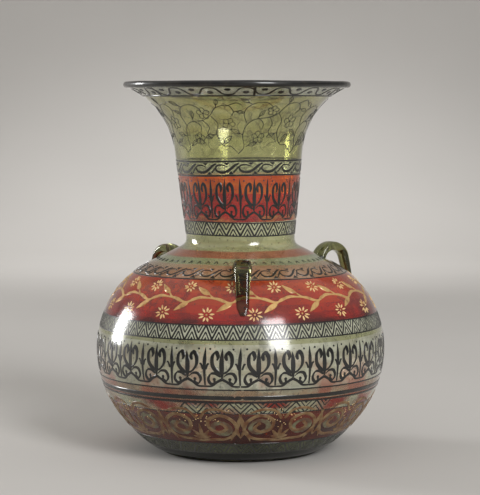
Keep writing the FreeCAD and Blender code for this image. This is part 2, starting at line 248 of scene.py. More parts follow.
class Nodes:
    """A material with its shader and short names for adding nodes."""

    def __init__(self, name):
        self.material = bpy.data.materials.new(name)
        self.material.use_nodes = True
        self.tree = self.material.node_tree
        self.shader = self.tree.nodes["Principled BSDF"]
        self.place = self.add("ShaderNodeTexCoord").outputs["Object"]

    def add(self, kind, **values):
        """A new node, with its settings."""
        node = self.tree.nodes.new(kind)
        for name, value in values.items():
            setattr(node, name, value)
        return node

    def feed(self, target, value):
        """Links an output to a socket, or writes a plain value in it."""
        if hasattr(value, "is_output"):
            self.tree.links.new(value, target)
        else:
            target.default_value = value

    def set(self, **values):
        """Feeds the shader's sockets by name."""
        for name, value in values.items():
            self.feed(self.shader.inputs[name.replace("_", " ")], value)

    def height(self):
        """The height above the floor, in metres."""
        split = self.add("ShaderNodeSeparateXYZ")
        self.feed(split.inputs[0], self.place)
        return split.outputs["Z"]

    def noise(self, scale, detail=3.0, stretch=(1, 1, 1)):
        mapping = self.add("ShaderNodeMapping")
        self.feed(mapping.inputs["Vector"], self.place)
        mapping.inputs["Scale"].default_value = stretch
        noise = self.add("ShaderNodeTexNoise")
        self.feed(noise.inputs["Vector"], mapping.outputs[0])
        noise.inputs["Scale"].default_value = scale
        noise.inputs["Detail"].default_value = detail
        return noise.outputs["Fac"]

    def math(self, operation, first, second):
        node = self.add("ShaderNodeMath", operation=operation)
        self.feed(node.inputs[0], first)
        self.feed(node.inputs[1], second)
        return node.outputs[0]

    def between(self, value, low, high, to_low=0.0, to_high=1.0):
        """Maps a value from one range to another, held at its ends."""
        node = self.add("ShaderNodeMapRange")
        for socket, given in zip(node.inputs, (value, low, high, to_low, to_high)):
            self.feed(socket, given)
        return node.outputs[0]

    def mix(self, share, first, second, blend="MIX"):
        """A blend of two colours."""
        node = self.add("ShaderNodeMix", data_type="RGBA", blend_type=blend)
        self.feed(node.inputs[0], share)
        self.feed(node.inputs[6], first)
        self.feed(node.inputs[7], second)
        return node.outputs[2]

    def steps(self, value, stops):
        """A colour or a level that changes in steps with a value."""
        node = self.add("ShaderNodeValToRGB")
        node.color_ramp.interpolation = "CONSTANT"
        elements = node.color_ramp.elements
        while len(elements) < len(stops):
            elements.new(1.0)
        for element, (position, colour) in zip(elements, stops):
            element.position = position
            element.color = (*colour, 1.0)
        self.feed(node.inputs[0], value)
        return node.outputs[0]

    def bump(self, height, strength, distance):
        """Fine relief from a height pattern."""
        node = self.add("ShaderNodeBump")
        node.inputs["Strength"].default_value = strength
        node.inputs["Distance"].default_value = distance
        self.feed(node.inputs["Height"], height)
        self.feed(self.shader.inputs["Normal"], node.outputs[0])


# Stained and painted bands from the base up. Each has its top height in millimetres, its bright and
# its dark colour, and how clear the glass is. The two lowest are painted shade: the green glass is
# darkened and clouded towards the floor, the lowest most, and the red above them is darker towards the
# floor.
TOP = 320.0
CLEAR = 0.93
BANDS = (
    # Painted shade: the base's green glass darkened almost to black, and the band above it darkened in
    # part
    (9.5, (26, 29, 18), (20, 22, 13), 0.40),
    (19.8, (104, 110, 82), (72, 76, 54), 0.40),
    (32.0, (116, 32, 10), (80, 24, 8), 0.60),
    (47.2, (158, 46, 12), (104, 34, 12), 0.68),
    (57.2, (216, 216, 178), (176, 40, 16), 0.62),
    (58.1, (170, 84, 34), (120, 48, 22), 0.60),
    (67.3, (202, 196, 164), (190, 158, 120), 0.60),
    (103.0, (224, 226, 202), (196, 196, 168), 0.48),
    (106.6, (210, 212, 166), (194, 196, 144), 0.60),
    (118.6, (240, 242, 216), (216, 218, 190), 0.50),
    (122.0, (166, 20, 12), (96, 10, 8), 0.52),
    (127.0, (186, 26, 10), (130, 14, 8), 0.50),
    (133.0, (198, 42, 8), (156, 26, 8), 0.48),
    (142.0, (208, 62, 8), (178, 40, 8), 0.45),
    (151.8, (212, 84, 14), (190, 58, 8), 0.45),
    (159.6, (214, 178, 142), (198, 148, 108), 0.50),
    (162.2, (212, 178, 138), (198, 166, 122), 0.50),
    (167.2, (196, 206, 156), (178, 190, 136), 0.55),
    (171.4, (204, 126, 86), (186, 108, 72), 0.50),
    (184.2, (212, 214, 160), (196, 198, 140), 0.60),
    (195.2, (240, 242, 200), (218, 220, 172), 0.60),
    (201.0, (184, 30, 26), (216, 146, 80), 0.52),
    (212.0, (204, 34, 16), (160, 16, 14), 0.50),
    (220.0, (216, 62, 12), (182, 28, 12), 0.50),
    (233.9, (230, 108, 20), (210, 78, 14), 0.50),
    (247.0, (214, 216, 166), (192, 194, 140), 0.72),
    (268.0, (200, 200, 134), (178, 178, 108), CLEAR),
    (299.8, (198, 196, 134), (180, 174, 96), CLEAR),
    (TOP, (198, 202, 180), (178, 182, 156), 0.60),
)


def painted_glass():
    """The vessel's outside: green glass with stained and milky bands, and painted shade at its base."""
    nodes = Nodes("painted_glass")
    height = nodes.height()
    uneven = nodes.between(nodes.noise(22, 2), 0, 1, -0.0011, 0.0011)
    polish = nodes.between(height, 0.02, 0.07, 0.15, 1.0)
    level = nodes.math("DIVIDE", nodes.math("ADD", height, uneven), TOP * MM)
    starts = [0.0] + [band[0] / TOP for band in BANDS[:-1]]
    bright = nodes.steps(level, [(start, linear(*band[1])) for start, band in zip(starts, BANDS)])
    dark = nodes.steps(level, [(start, linear(*band[2])) for start, band in zip(starts, BANDS)])
    clear = nodes.steps(level, [(start, (band[3],) * 3) for start, band in zip(starts, BANDS)])
    patches = nodes.between(nodes.noise(34, 7, (1, 1, 2.4)), 0.42, 0.60)
    colour = nodes.mix(patches, bright, dark)

    # Red stain that has run up into the pale belly band
    fading = nodes.between(height, 0.064, 0.100, 0.8, 0.0)
    flush = nodes.math("MULTIPLY", fading, nodes.between(nodes.noise(38, 6), 0.46, 0.60))
    flush = nodes.math("MULTIPLY", flush, nodes.math("GREATER_THAN", height, 0.0585))
    colour = nodes.mix(flush, colour, opaque((190, 92, 66)))

    # Upright streaks, mottled patches and small seeds
    streaks = nodes.between(nodes.noise(90, 4, (0.25, 0.25, 1.6)), 0.3, 0.7, 0.82, 1.08)
    mottle = nodes.math("MULTIPLY", nodes.between(nodes.noise(170, 6), 0.46, 0.56),
                        nodes.between(nodes.noise(26, 2), 0.45, 0.62, 0.0, 0.34))
    streaks = nodes.math("MULTIPLY", streaks, nodes.math("SUBTRACT", 1.0, mottle))
    specks = nodes.between(nodes.noise(420, 3), 0.60, 0.68, 1.0, 0.62)
    colour = nodes.mix(1.0, colour, streaks, "MULTIPLY")
    frosting = nodes.between(clear, 0.55, 0.9, 0.12, 0.0)
    nodes.set(
        Base_Color=nodes.mix(1.0, colour, specks, "MULTIPLY"),
        Transmission_Weight=clear,
        Roughness=nodes.math("ADD", frosting, nodes.between(nodes.noise(60, 4), 0.3, 0.7, 0.0, 0.08)),
        IOR=1.5,
        Specular_IOR_Level=nodes.math("MULTIPLY", polish, 0.5),
        Coat_Weight=nodes.math("MULTIPLY", polish, 0.8),
        Coat_Roughness=nodes.between(nodes.noise(50, 3), 0.3, 0.7, 0.08, 0.20),
    )
    nodes.bump(nodes.noise(45, 3), 0.18, 0.0005)
    return nodes.material


def plain_glass(name, colour, dark):
    """Clear glass with a slight change of tint."""
    nodes = Nodes(name)
    share = nodes.between(nodes.noise(35, 3), 0.35, 0.65)
    nodes.set(
        Base_Color=nodes.mix(share, opaque(colour), opaque(dark)),
        Transmission_Weight=1.0,
        Roughness=nodes.between(nodes.noise(80, 2), 0.3, 0.7, 0.02, 0.07),
        IOR=1.5,
    )
    nodes.bump(nodes.noise(40, 2), 0.2, 0.0005)
    return nodes.material


def enamel(name, colour, worn, roughness, metallic=0.0, wear=0.62, gloss=0.0):
    """Fired enamel or gold, with worn patches and a brushed, slightly lumpy surface."""
    nodes = Nodes(name)
    patches = nodes.between(nodes.noise(160, 5), wear - 0.12, wear + 0.08)
    fine = nodes.between(nodes.noise(900, 3), 0.25, 0.75, 0.82, 1.1)
    colour = nodes.mix(patches, opaque(colour), opaque(worn))
    nodes.set(
        Base_Color=nodes.mix(1.0, colour, fine, "MULTIPLY"),
        Metallic=metallic,
        Roughness=nodes.between(nodes.noise(300, 3), 0.3, 0.7, roughness - 0.08, roughness + 0.12),
        Specular_IOR_Level=0.3,
        Coat_Weight=gloss,
        Coat_Roughness=nodes.between(nodes.noise(50, 3), 0.3, 0.7, 0.08, 0.20),
    )
    nodes.bump(nodes.noise(700, 3), 0.3, 0.0002)
    return nodes.material


def brushed_brass():
    """Brass with a drawn grain and darker, handled patches."""
    nodes = Nodes("brass")
    grain = nodes.noise(500, 4, (1, 1, 0.1))
    handled = nodes.between(nodes.noise(120, 5), 0.4, 0.7)
    nodes.set(
        Base_Color=nodes.mix(handled, opaque((206, 166, 92)), opaque((140, 100, 48))),
        Metallic=1.0,
        Roughness=nodes.between(grain, 0.3, 0.7, 0.22, 0.42),
    )
    nodes.bump(grain, 0.2, 0.0001)
    return nodes.material


def cotton():
    """A braided cotton wick, charred at its top."""
    nodes = Nodes("cotton")
    wick_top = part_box("wick")[1][2]
    char = nodes.between(nodes.height(), wick_top - 0.0035, wick_top - 0.001)
    braid = nodes.add("ShaderNodeTexWave", wave_type="BANDS", bands_direction="DIAGONAL")
    nodes.feed(braid.inputs["Vector"], nodes.place)
    braid.inputs["Scale"].default_value = 420
    braid.inputs["Distortion"].default_value = 1.5
    thread = nodes.mix(braid.outputs["Fac"], opaque((196, 186, 160)), opaque((232, 224, 204)))
    nodes.set(Base_Color=nodes.mix(char, thread, opaque((38, 32, 28))), Roughness=0.95)
    nodes.bump(braid.outputs["Fac"], 0.8, 0.0004)
    return nodes.material


PAINTED = painted_glass()
INSIDE = plain_glass("inner_glass", (250, 251, 244), (240, 243, 228))
GREEN = plain_glass("loop_glass", (158, 158, 108), (118, 120, 74))
CLEAR_GLASS = plain_glass("cup_glass", (246, 250, 246), (236, 242, 236))
BLACK = enamel("black_enamel", (11, 11, 10), (36, 32, 26), 0.40, gloss=0.8)
GOLD = enamel("gold", (206, 166, 104), (160, 104, 56), 0.42, metallic=0.35, gloss=0.8)
CREAM = enamel("cream_enamel", (230, 198, 140), (196, 150, 92), 0.45, gloss=0.8)
TAN = enamel("worn_gold", (134, 110, 76), (104, 68, 40), 0.5, wear=0.52, gloss=0.3)
CELADON = enamel("celadon_enamel", (116, 116, 88), (92, 66, 48), 0.45, wear=0.50, gloss=0.4)
BRASS = brushed_brass()
COTTON = cotton()


# The vessel

def make_vessel():
    """The blown body and neck in one wall, its outer skin painted and its inside plain."""
    outer = respaced(OUTER_LINE, 2.4)
    inner = respaced(INNER_LINE, 3.0)[::-1]
    line = np.vstack([outer, inner])
    turn = np.linspace(0, 2 * math.pi, AROUND, endpoint=False)
    points = []
    for row, (radius, height) in enumerate(line):
        bulge = swell(turn, height) if row < len(outer) else -0.8 * swell(-turn, height)
        points.append(on_wall(turn, np.maximum(radius + bulge, 0.01), np.full(AROUND, height)))
    sides = ring_faces(len(line), AROUND)
    faces = sides + end_caps(len(line), AROUND)
    vessel = new_object("vessel_glass", np.vstack(points), faces, [PAINTED, INSIDE])
    painted = (len(outer) - 1) * AROUND
    plain = len(sides) - painted
    vessel.data.polygons.foreach_set("material_index", [0] * painted + [1] * plain + [0, 1])
    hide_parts("bulb", "flared_neck")


def make_lip():
    """The black enamelled bead round the mouth."""
    mouth = (OUTER_LINE[-1] + INNER_LINE[-1]) / 2
    ahead = OUTER_LINE[-1] - OUTER_LINE[-3]
    ahead = ahead / np.hypot(*ahead)
    middle = mouth + ahead * math.sqrt(LIP_RADIUS ** 2 - (NECK_WALL / 2) ** 2)
    turn = np.linspace(0, 2 * math.pi, AROUND, endpoint=False)
    thick = LIP_RADIUS + 0.1 * np.sin(5 * turn + 1) + 0.06 * np.sin(11 * turn)
    sides = 16
    points = []
    for side in range(sides):
        a = 2 * math.pi * side / sides
        points.append(on_wall(turn, middle[0] + thick * math.cos(a), middle[1] + thick * math.sin(a)))
    lip = new_object("lip_bead", np.vstack(points), ring_faces(sides, AROUND, closed=True), [BLACK])
    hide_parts("rim_lip")


# Enamel: every stroke is a thin raised solid that follows the glass

class Band:
    """A strip round the vessel between two heights. x runs round it and y up it, both in millimetres.

    tilt and phase say how far and where its line wanders.
    """

    def __init__(self, low, high, tilt=0.0, phase=0.0):
        self.start = along_at(low)
        self.height = along_at(high) - self.start
        self.radius = radius_at(self.start + self.height / 2)
        self.length = 2 * math.pi * self.radius
        self.tilt, self.phase = tilt, phase

    def place(self, x, y, lift):
        """Places on the glass, which drift up and down a little as a hand does."""
        angle = np.asarray(x) / self.radius
        drift = self.tilt * np.sin(angle + self.phase) + 0.25 * np.sin(3 * angle + 2 * self.phase)
        return on_skin(angle, self.start + np.asarray(y) + drift, lift)

    def squeeze(self, y):
        """How much wider a motif must be drawn at a height for it to keep its width."""
        return self.radius / radius_at(self.start + y)


def curve(points, count=9):
    """A smooth line through the points."""
    points = np.asarray(points, float)
    ends = np.vstack([2 * points[0] - points[1], points, 2 * points[-1] - points[-2]])
    share = np.linspace(0, 1, count, endpoint=False)[:, None]
    pieces = []
    for a, b, c, d in zip(ends, ends[1:], ends[2:], ends[3:]):
        pieces.append(0.5 * (2 * b + (c - a) * share + (2 * a - 5 * b + 4 * c - d) * share ** 2
                             + (3 * b - a - 3 * c + d) * share ** 3))
    return np.vstack(pieces + [points[-1:]])


def even_line(start, end, step=2.5):
    """A straight line of evenly spaced points."""
    count = max(2, int(math.hypot(end[0] - start[0], end[1] - start[1]) / step) + 1)
    return np.column_stack([np.linspace(start[axis], end[axis], count) for axis in (0, 1)])


class Enamel:
    """Strokes of one colour, gathered into one object. They start below the glass and rise above it."""

    SINK = 0.12

    def __init__(self, name, material, slot="black_enamel", raised=0.28):
        self.name, self.material, self.slot, self.raised = name, material, slot, raised
        self.points, self.faces, self.count = [], [], 0

    def add(self, points, faces):
        """Adds points, and faces that count from the first of them."""
        self.points.append(points)
        self.faces += [tuple(index + self.count for index in face) for face in faces]
        self.count += len(points)

    def stroke(self, band, path, width, closed=False):
        """A brush stroke along a path. width is its half width, one number or one per point."""
        path = np.asarray(path, float)
        width = np.broadcast_to(np.asarray(width, float), (len(path),))
        if closed:
            ahead = np.roll(path, -1, axis=0) - np.roll(path, 1, axis=0)
        else:
            ahead = np.gradient(path, axis=0)
        ahead /= np.maximum(np.hypot(*ahead.T), 1e-6)[:, None]
        side = np.column_stack([-ahead[:, 1], ahead[:, 0]]) * width[:, None]
        rails = [(1, -self.SINK), (0.72, self.raised), (-0.72, self.raised), (-1, -self.SINK)]
        lines = [band.place(*(path + side * out).T, lift) for out, lift in rails]
        points = np.stack(lines, axis=1).reshape(-1, 3)
        count = len(path)
        faces = []
        for i in range(count if closed else count - 1):
            low, high = i * 4, (i + 1) % count * 4
            faces += [(low + k, low + (k + 1) % 4, high + (k + 1) % 4, high + k) for k in range(4)]
        if not closed:
            last = (count - 1) * 4
            faces += [(3, 2, 1, 0), (last, last + 1, last + 2, last + 3)]
        self.add(points, faces)

    def shape(self, band, outline):
        """A filled shape. Its outline runs round its middle."""
        outline = np.asarray(outline, float)
        middle = outline.mean(axis=0)
        inner = middle + (outline - middle) * 0.8
        points = np.vstack([band.place(*outline.T, -self.SINK), band.place(*inner.T, self.raised)])
        count = len(outline)
        faces = [(i, (i + 1) % count, count + (i + 1) % count, count + i) for i in range(count)]
        faces += [tuple(range(count))[::-1], tuple(range(count, 2 * count))]
        self.add(points, faces)

    def dot(self, band, x, y, radius, stretch=1.0, turn=0.0, sides=10):
        """A round or oval touch of the brush."""
        a = np.linspace(0, 2 * math.pi, sides, endpoint=False)
        local = np.column_stack([np.cos(a) * radius * stretch, np.sin(a) * radius])
        spin = np.array([[math.cos(turn), math.sin(turn)], [-math.sin(turn), math.cos(turn)]])
        self.shape(band, local @ spin * (band.squeeze(y), 1) + (x, y))

    def ring(self, band, y, width):
        """A line right round the vessel."""
        x = np.linspace(0, band.length, AROUND, endpoint=False)
        self.stroke(band, np.column_stack([x, np.full(AROUND, y)]), width, closed=True)

    def build(self):
        """Makes the object."""
        piece = new_object(self.name, np.vstack(self.points), self.faces, [self.material], smooth=False)


def leaf_width(count, widest, tip=0.15):
    """Half widths of a leaf from its stem to its point."""
    share = np.linspace(0, 1, count)
    return widest * np.maximum(np.sin(math.pi * share ** 0.75) ** 0.8, tip * (1 - share))


def brush_width(count, widest, start=0.35, end=0.25):
    """Half widths of a brush stroke that thins at both ends."""
    share = np.linspace(0, 1, count)
    return widest * np.minimum(1, np.minimum(start + share * 5, end + (1 - share) * 4))


def nib_width(path, widest):
    """Half widths as a flat slanted brush leaves them: broad across its slant and thin along it."""
    ahead = np.gradient(np.asarray(path), axis=0)
    turn = np.arctan2(ahead[:, 1], ahead[:, 0])
    return brush_width(len(path), widest, 0.5, 0.5) * (0.5 + 0.75 * np.abs(np.sin(turn - 0.7)))


def jitter(amount):
    """A small chance shift, as a hand makes."""
    return rng.uniform(-amount, amount)


# Ornament. A motif's points are shares of its pitch, across, and of its band's height, upwards.

WORN_STRETCHES = 3


def tent(ink, band, middle, half, base, peak, width):
    """Two strokes that lean together."""
    ink.stroke(band, even_line((middle - half, base), (middle, peak)), width)
    ink.stroke(band, even_line((middle, peak), (middle + half, base)), width)


def wedge(ink, band, left, tip, right):
    """A small filled triangle that points up or down."""
    corners = [left, tip, right]
    if tip[1] < left[1]:
        corners.reverse()
    ink.shape(band, corners)


def chevrons(ink, band, count, width, worn=0.0):
    """Nested zigzags between two rings, a traditional filling. worn is how much has rubbed away."""
    pitch, top = band.length / count, band.height
    for index in range(count):
        wear = 0.5 - 0.5 * math.cos(2 * WORN_STRETCHES * math.pi * index / count)
        if wear > 1 - worn:
            continue
        x = index * pitch + jitter(0.3)
        for start, base, tip in ((x, 0.0, top), (x + pitch / 2, top, 0.0)):
            middle = start + pitch / 2 + jitter(0.12)
            if tip > base:
                tent(ink, band, middle, pitch / 2, base, tip, width * 1.4)
            middle = start + pitch / 2 + jitter(0.12)
            tent(ink, band, middle, pitch / 2 * 0.54, base, base + (tip - base) * 0.54, width)
            half = pitch / 2 * 0.24
            peak = base + (tip - base) * 0.24
            wedge(ink, band, (middle - half, base), (middle, peak), (middle + half, base))
    ink.ring(band, 0.0, width)
    ink.ring(band, top, width)


def running_scroll(ink, band, count, width):
    """A running wave: each crest hooks back over a bright eye and sweeps up into the next."""
    pitch, top = band.length / count, band.height
    swoosh = ((0.52, 0.66), (0.30, 0.80), (0.07, 0.76), (0.0, 0.54), (0.08, 0.30), (0.28, 0.19),
              (0.50, 0.27), (0.70, 0.52), (0.85, 0.76), (1.02, 0.93))
    rib = ((0.78, 0.16), (0.90, 0.42), (1.02, 0.68))
    low_wedge = ((0.54, 0.0), (0.68, 0.30), (0.82, 0.0))
    high_wedge = ((0.36, 1.0), (0.50, 0.76), (0.64, 1.0))
    for index in range(count):
        shift = index + jitter(0.02)

        def placed(points):
            return [((shift + x) * pitch, y * top) for x, y in points]

        path = curve(placed(swoosh), 6)
        share = np.linspace(0, 1, len(path))
        heavy = np.interp(share, (0, 0.15, 0.3, 0.55, 0.85, 1), (0.4, 0.8, 0.7, 1.35, 1.3, 0.7))
        ink.stroke(band, path, width * heavy)
        path = curve(placed(rib), 5)
        ink.stroke(band, path, brush_width(len(path), width * 0.8, 0.8, 0.5))
        wedge(ink, band, *placed(low_wedge))
        wedge(ink, band, *placed(high_wedge))


def five_petals(ink, band, x, y, size, width, turn):
    """A flower drawn in line: a five-lobed outline about a heart with short stamens."""
    wide = band.squeeze(y)
    a = np.linspace(0, 2 * math.pi, 40, endpoint=False)
    reach = size * (0.60 + 0.40 * np.abs(np.cos(2.5 * a)) ** 0.7)
    outline = np.column_stack([x + reach * np.cos(a + turn) * wide, y + reach * np.sin(a + turn)])
    ink.stroke(band, outline, width, closed=True)
    for petal in range(5):
        b = turn + 2 * math.pi * (petal + 0.5) / 5
        aim = np.array([math.cos(b) * wide, math.sin(b)])
        stamen = even_line((x, y) + aim * size * 0.18, (x, y) + aim * size * 0.55, 1.2)
        ink.stroke(band, stamen, width * 0.8)
    ink.dot(band, x, y, size * 0.15, sides=8)


def line_leaf(ink, band, x, y, size, width, turn):
    """A leaf drawn in outline, with its midrib."""
    wide = band.squeeze(y)
    share = np.linspace(0, 1, 8)
    for side in (1, -1):
        belly = side * size * 0.2 * np.sin(math.pi * share)
        reach = size * share
        path = np.column_stack([x + (reach * math.cos(turn) - belly * math.sin(turn)) * wide,
                                y + reach * math.sin(turn) + belly * math.cos(turn)])
        ink.stroke(band, path, width)
    tip = (x + 0.75 * size * math.cos(turn) * wide, y + 0.75 * size * math.sin(turn))
    ink.stroke(band, even_line((x, y), tip, 2), width * 0.8)


# The neck vine: its stems, its flowers as place and size, and its leaves as place and turn
VINE_STEMS = (
    ((0.00, 0.04), (0.09, 0.12), (0.07, 0.32), (0.14, 0.50), (0.29, 0.58), (0.40, 0.50), (0.38, 0.38)),
    ((0.14, 0.50), (0.09, 0.68), (0.19, 0.85), (0.37, 0.89), (0.47, 0.80), (0.46, 0.74)),
    ((0.29, 0.58), (0.47, 0.60), (0.61, 0.68), (0.71, 0.84), (0.86, 0.87), (0.94, 0.76), (0.90, 0.66)),
    ((0.61, 0.68), (0.70, 0.53), (0.65, 0.35), (0.73, 0.18), (0.88, 0.15), (1.00, 0.04)),
    ((0.47, 0.60), (0.54, 0.48), (0.50, 0.36), (0.55, 0.28)),
    ((0.86, 0.87), (0.98, 0.93), (1.06, 0.86)),
)
VINE_FLOWERS = ((0.33, 0.28, 5.6), (0.50, 0.72, 5.4), (0.86, 0.53, 5.8))
VINE_LEAVES = (
    (0.07, 0.32, 2.7), (0.19, 0.85, 2.3), (0.71, 0.84, 1.5), (0.65, 0.35, 3.6),
    (0.73, 0.18, 0.6), (0.29, 0.58, 1.2), (0.12, 0.14, 0.5), (0.94, 0.76, -0.2),
)


def neck_vine(ink, band, count):
    """Fine drawn vines on the upper neck: winding stems, curls, flowers and leaves."""
    pitch, top, fine = band.length / count, band.height, 0.30
    for index in range(count):
        grow = [1 + jitter(0.06), 1 + jitter(0.05)]

        def at(x, y):
            return index * pitch + x * pitch * grow[0], top * (0.02 + 0.95 * y * grow[1])

        for stem in VINE_STEMS:
            path = curve([at(x + jitter(0.008), y + jitter(0.012)) for x, y in stem], 8)
            ink.stroke(band, path, brush_width(len(path), fine, 0.9, 0.5))
        for x, y, size in VINE_FLOWERS:
            spot = at(x + jitter(0.01), y)
            five_petals(ink, band, *spot, size + jitter(0.5), fine * 0.9, rng.uniform(0, 6))
        for x, y, turn in VINE_LEAVES:
            turn += jitter(0.3)
            root = np.array(at(x, y))
            foot = root + 2.2 * np.array([math.cos(turn), math.sin(turn)])
            ink.stroke(band, even_line(root, foot, 1), fine)
            line_leaf(ink, band, *foot, 8.0 + jitter(1), fine * 0.9, turn)


def mirrored(points, x0, pitch, top, side):
    """Points of a motif, given as shares of its pitch and height, on one side of its middle."""
    return [(x0 + side * x * pitch, y * top) for x, y in points]


def arabesque(ink, band, count, width):
    """A dense row of palmettes and spears over a rolling bough, as on a tiled frieze."""
    pitch, top = band.length / count, band.height
    lobe = ((0.03, 0.34), (0.15, 0.40), (0.27, 0.55), (0.27, 0.76), (0.17, 0.86), (0.11, 0.76),
            (0.14, 0.66))
    curl = ((0.04, 0.26), (0.17, 0.34), (0.32, 0.33), (0.39, 0.20), (0.32, 0.09), (0.22, 0.12),
            (0.22, 0.20))
    root = ((0.0, 0.20), (0.15, 0.13), (0.30, 0.03), (0.50, 0.02))
    barb = ((0.46, 0.44), (0.41, 0.56), (0.36, 0.58))
    for index in range(count):
        x0 = (index + 0.5) * pitch + jitter(0.02) * pitch
        tall = 0.98 - 0.10 * (index % 3 == 1) + jitter(0.02)
        upright = [(x0, 0.22 * top), (x0 + jitter(0.4), 0.6 * top), (x0 + jitter(0.8), tall * top)]
        heart = curve(upright, 8)
        ink.stroke(band, heart, leaf_width(len(heart), width * 1.45, 0.4))
        for side in (1, -1):
            path = curve(mirrored(lobe, x0, pitch, top, side), 6)
            ink.stroke(band, path, nib_width(path, width))
            path = curve(mirrored(curl, x0, pitch, top, side), 6)
            ink.stroke(band, path, nib_width(path, width * 0.8))
            ink.dot(band, path[-1][0], path[-1][1], width * 0.95)
            path = curve(mirrored(root, x0, pitch, top, side), 5)
            ink.stroke(band, path, np.linspace(width * 0.9, width * 0.5, len(path)))
            path = curve(mirrored(barb, x0, pitch, top, side), 5)
            ink.stroke(band, path, brush_width(len(path), width * 0.6, 0.9, 0.3))
            spot = (x0 + side * 0.33 * pitch + jitter(0.4), (0.93 + jitter(0.02)) * top)
            ink.dot(band, *spot, width * 0.62)
        edge = index * pitch + jitter(0.02) * pitch
        upright = [(edge, 0.05 * top), (edge + jitter(0.5), 0.5 * top), (edge + jitter(0.9), 0.97 * top)]
        spear = curve(upright, 8)
        share = np.linspace(0, 1, len(spear))
        ink.stroke(band, spear, width * np.interp(share, (0, 0.3, 0.72, 1), (0.5, 0.75, 1.15, 0.15)))


def petal_flower(ink, heart, band, x, y, size, petals):
    """A flower of separate long petals painted with one touch each."""
    turn = rng.uniform(0, 2)
    for petal in range(petals):
        a = turn + 2 * math.pi * petal / petals + jitter(0.12)
        share = np.linspace(0.38, 1 + jitter(0.08), 5)
        path = np.column_stack([x + share * size * math.cos(a), y + share * size * math.sin(a)])
        ink.stroke(band, path, size * np.array([0.04, 0.11, 0.14, 0.10, 0.03]))
    heart.dot(band, x, y, size * 0.14, sides=8)


def gold_vine(ink, light, band, count):
    """A winding bough with leaves on both sides and small flowers in its bays."""
    pitch, top = band.length / count, band.height
    stalk_shape = ((0.0, 0.0), (0.20, 0.08), (0.40, 0.36))
    flowers = ((0.80, 0.83, 6.1), (0.30, 0.17, 6.3))

    def bough_at(x):
        phase = 2 * math.pi * x / pitch
        return 0.52 * top + 2.3 * np.sin(phase) + 0.7 * np.sin(2 * phase + 1)

    wave = np.linspace(0, band.length, count * 24, endpoint=False)
    swelling = 1.15 + 0.35 * np.sin(4 * math.pi * wave / pitch + 0.6)
    ink.stroke(band, np.column_stack([wave, bough_at(wave)]), swelling, closed=True)
    for index in range(count):
        for root, side in ((0.50, 1), (1.02, -1)):
            x = (index + root) * pitch + jitter(0.8)
            start = np.array([x, bough_at(x)])
            reach = np.array([-(18.5 + jitter(1.5)), side * (12.8 + jitter(0.8))])
            stalk = curve([start + reach * spot for spot in stalk_shape], 5)
            ink.stroke(band, stalk, np.linspace(1.2, 0.6, len(stalk)))
            blade = curve([stalk[-1], start + reach * (0.68, 0.62), start + reach], 8)
            ink.stroke(band, blade, leaf_width(len(blade), 2.5 + jitter(0.3)))
        for x, y, size in flowers:
            spot = ((index + x) * pitch + jitter(1), y * top + jitter(0.6))
            petal_flower(light, ink, band, *spot, size + jitter(0.4), 9)


def great_scrolls(ink, fill, specks, band, count, width):
    """Broad paired scrolls each side of an upright palmette, with milky fillings and specks."""
    pitch, top = band.length / count, band.height
    big = ((0.0, 0.04), (0.14, 0.08), (0.32, 0.12), (0.45, 0.34), (0.42, 0.66), (0.27, 0.84),
           (0.12, 0.70), (0.13, 0.44), (0.24, 0.34), (0.33, 0.46), (0.28, 0.60))
    crest = ((0.02, 0.74), (0.10, 0.95), (0.24, 1.00), (0.40, 0.90))
    spray = ((0.50, 0.14), (0.50, 0.66), (0.37, 0.03), (0.52, 0.92))
    fan = ((0.0, 0.48), (0.62, 0.36), (-0.62, 0.36), (1.2, 0.24), (-1.2, 0.24))
    for index in range(count):
        x0 = (index + 0.5) * pitch
        for side in (1, -1):
            path = curve(mirrored(big, x0, pitch, top, side), 6)
            ink.stroke(band, path, brush_width(len(path), width, 0.8, 0.7))
            eye = (x0 + side * 0.27 * pitch, (0.47 + jitter(0.06)) * top)
            fill.dot(band, *eye, 0.25 * top, 1.15, jitter(0.6), 14)
            ink.dot(band, path[-1][0], path[-1][1], width * 1.1)
            path = curve(mirrored(crest, x0, pitch, top, side), 6)
            ink.stroke(band, path, brush_width(len(path), width * 0.8, 0.8, 0.3))
            root = np.array([x0 + side * 0.44 * pitch, 0.42 * top])
            for tip in spray:
                path = even_line(root, (x0 + side * tip[0] * pitch, tip[1] * top), 1.5)
                ink.stroke(band, path, leaf_width(len(path), width))
        for turn, size in fan:
            tip = (x0 + size * top * math.sin(turn), (0.12 + size * math.cos(turn)) * top)
            path = even_line((x0, 0.12 * top), tip, 1.5)
            ink.stroke(band, path, leaf_width(len(path), width * 1.15))
        for _ in range(40):
            x = x0 + rng.gauss(0.0, 0.16) * pitch
            y = (0.80 + rng.gauss(0.0, 0.12)) * top
            specks.dot(band, x, min(y, top), 0.50 + jitter(0.15), sides=6)


def lip_wave(ink, band, count):
    """Under the lip: a wavy line with a dot in each bay, between upright bars."""
    pitch, top = band.length / count, band.height
    wave = np.linspace(0, band.length, count * 24, endpoint=False)
    phase = 2 * math.pi * wave / pitch
    line = top * (0.5 + 0.44 * np.tanh(1.6 * np.sin(phase)))
    ink.stroke(band, np.column_stack([wave, line]), 0.75 + 0.3 * np.sin(phase + 2) ** 2, closed=True)
    for index in range(count):
        x0 = index * pitch
        ink.dot(band, x0 + 0.25 * pitch, 0.34 * top, 2.2, 1.3)
        ink.dot(band, x0 + 0.75 * pitch, 0.66 * top, 2.2, 1.3)
        if index % 3 == 0:
            x = x0 + 0.5 * pitch + jitter(1)
            ink.stroke(band, even_line((x, 0.02 * top), (x + jitter(0.6), 0.98 * top)), 1.1)


def ticks(ink, band, count):
    """A row of small arched touches."""
    for index in range(count):
        x = (index + 0.5) * band.length / count + jitter(0.6)
        tick = curve([(x - 1.5, 0.2), (x, band.height * 0.8 + jitter(0.3)), (x + 1.5, 0.2)], 5)
        ink.stroke(band, tick, 0.32)


